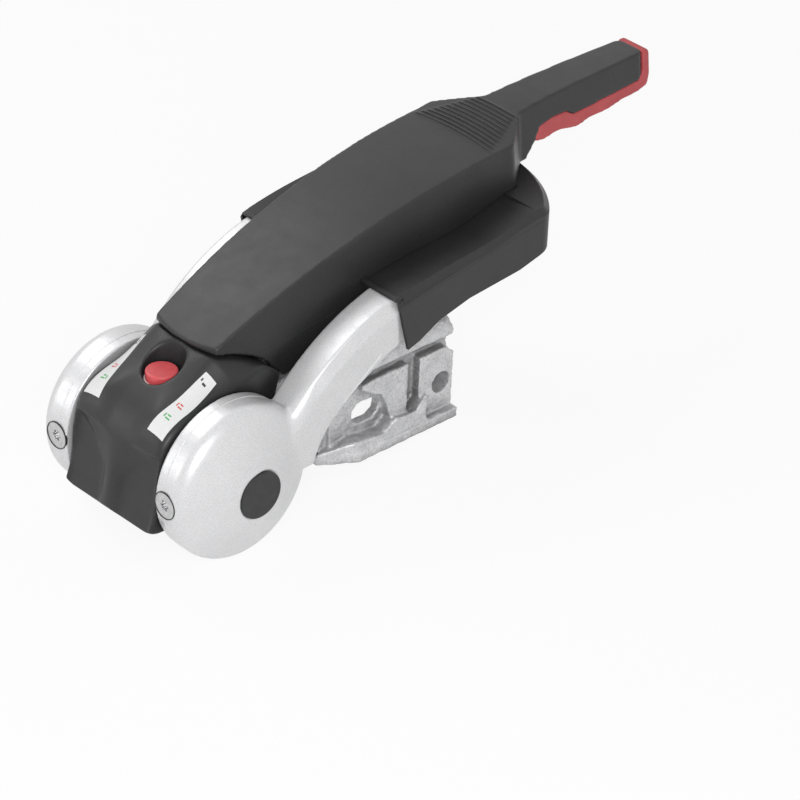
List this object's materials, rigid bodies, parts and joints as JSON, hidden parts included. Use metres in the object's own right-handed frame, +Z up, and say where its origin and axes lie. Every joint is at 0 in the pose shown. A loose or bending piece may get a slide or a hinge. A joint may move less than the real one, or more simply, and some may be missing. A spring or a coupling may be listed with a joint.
{
  "type": "trailer coupling head",
  "caption": "Stabiliser coupling head for a trailer: ball socket with friction pads, round-headed silver arms, black lever with a red grip, cast drawbar clamp.",
  "frame": {"origin": "centre of the coupling ball in its closed socket, which is also on the lever's axis", "axes": "+X forward, the way the trailer travels; +Y to its left; +Z up"},
  "size_m": [0.3944, 0.1394, 0.1715],
  "materials": {
    "plated_casting": "rough cast, zinc plated",
    "silver_arm": "satin silver coat",
    "black_plastic": "fine grained satin",
    "red_grip": "soft matt",
    "red_plastic": "semi-gloss",
    "friction_lining": "matt",
    "bearing_plastic": "smooth",
    "plated_steel": "zinc plated",
    "steel": "machined"
  },
  "bodies": {
    "coupling": {"coupling_body": "plated_casting", "soft_dock": "black_plastic", "dock_screws": "steel", "front_friction_pad": "friction_lining", "disc_bush_left": "bearing_plastic", "disc_bush_right": "bearing_plastic", "jaw_pin": "steel", "handle_pin": "steel", "handle_spring": "steel", "indicator_spring": "steel"},
    "lever": {"arm_left": "silver_arm", "arm_right": "silver_arm", "disc_cap_left": "black_plastic", "disc_cap_right": "black_plastic", "rim_screw_left": "steel", "rim_screw_right": "steel", "thrust_screw_left": "steel", "thrust_screw_right": "steel", "cross_bar": "steel", "arm_bolts": "steel", "yoke_cover": "black_plastic", "handle_shell": "black_plastic", "grip_insert": "red_grip", "cover_screws": "steel"},
    "latch": {"coupling_handle": "plated_steel"},
    "jaw": {"locking_jaw": "plated_steel", "rear_friction_pad": "friction_lining"},
    "pad_left": {"pad_holder_left": "plated_steel", "side_friction_pad_left": "friction_lining"},
    "pad_right": {"pad_holder_right": "plated_steel", "side_friction_pad_right": "friction_lining"},
    "indicator": {"indicator_pin": "steel", "indicator_cap": "red_plastic"}
  },
  "joints": [
    {"name": "lever_hinge", "type": "hinge", "parent": "coupling", "child": "lever", "pos_m": [0, 0, 0], "axis": [0, 1, 0], "range_deg": [0, 70]},
    {"name": "latch_hinge", "type": "hinge", "parent": "coupling", "child": "latch", "pos_m": [-0.062, 0, 0.022], "axis": [0, 1, 0], "range_deg": [0, 40]},
    {"name": "jaw_hinge", "type": "hinge", "parent": "coupling", "child": "jaw", "pos_m": [-0.041, 0, 0.013], "axis": [0, 1, 0], "range_deg": [0, 25]},
    {"name": "pad_slide_left", "type": "slide", "parent": "coupling", "child": "pad_left", "axis": [0, 1, 0], "range_m": [0, 0.004]},
    {"name": "pad_slide_right", "type": "slide", "parent": "coupling", "child": "pad_right", "axis": [0, -1, 0], "range_m": [0, 0.004]},
    {"name": "indicator_slide", "type": "slide", "parent": "coupling", "child": "indicator", "axis": [0, 0, 1], "range_m": [0, 0.003], "stiffness_N_per_m": 300, "springref_m": -0.002, "deforming": ["indicator_spring"]}
  ],
  "couplings": [
    {"joint": "latch_hinge", "follows": "lever_hinge", "ratio": 0.57143},
    {"joint": "jaw_hinge", "follows": "lever_hinge", "ratio": 0.35714},
    {"joint": "pad_slide_left", "follows": "lever_hinge", "m_per_rad": 0.003274},
    {"joint": "pad_slide_right", "follows": "lever_hinge", "m_per_rad": 0.003274}
  ]
}
